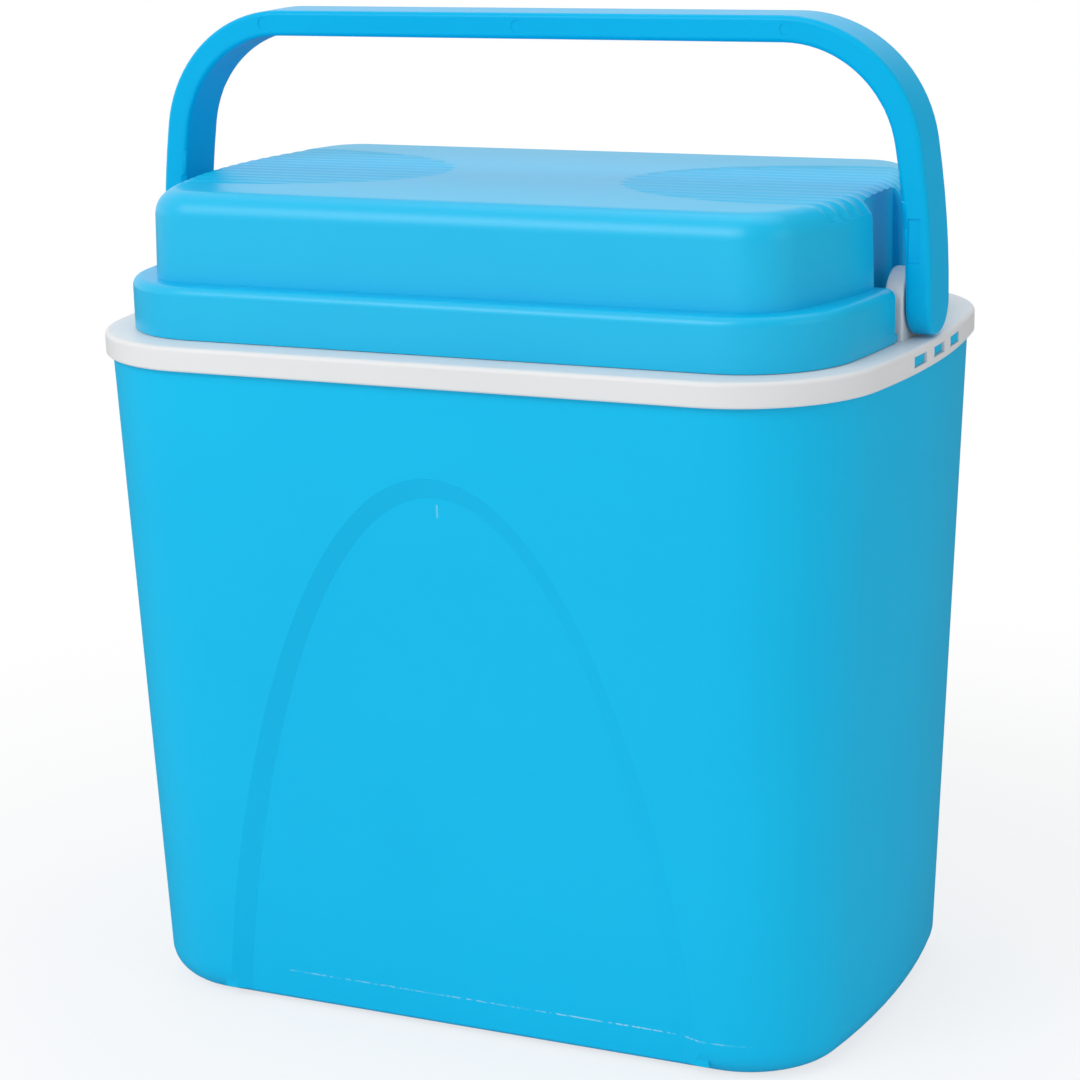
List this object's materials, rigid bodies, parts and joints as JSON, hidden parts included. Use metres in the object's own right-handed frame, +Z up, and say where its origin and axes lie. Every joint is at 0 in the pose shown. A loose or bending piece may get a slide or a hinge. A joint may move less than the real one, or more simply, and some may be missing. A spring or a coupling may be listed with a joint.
{
  "type": "cooler chest",
  "caption": "Insulated cooler chest: drafted tub with arched panels, white clip-over rim, lift-off domed lid and a carrying handle that folds flat onto the rim.",
  "frame": {"origin": "centre of the footprint, on the surface that the chest stands on", "axes": "+X along the chest's length, +Y from its front to its back, +Z up"},
  "size_m": [0.395, 0.253, 0.47],
  "materials": {
    "blue_plastic": "satin",
    "white_plastic": "satin",
    "foam": "matte"
  },
  "bodies": {
    "chest": {"outer_shell": "blue_plastic", "body_insulation": "foam", "inner_liner": "white_plastic"},
    "lid": {"lid_shell": "blue_plastic", "lid_insulation": "foam", "lid_inner_panel": "white_plastic"},
    "carry_handle": {"handle": "blue_plastic"}
  },
  "joints": [
    {"name": "handle_swing", "type": "hinge", "parent": "chest", "child": "carry_handle", "pos_m": [0, 0, 0.343], "axis": [1, 0, 0], "range_deg": [-90, 90]},
    {"name": "lid_lift", "type": "slide", "parent": "chest", "child": "lid", "axis": [0, 0, 1], "range_m": [0, 0.04]}
  ]
}
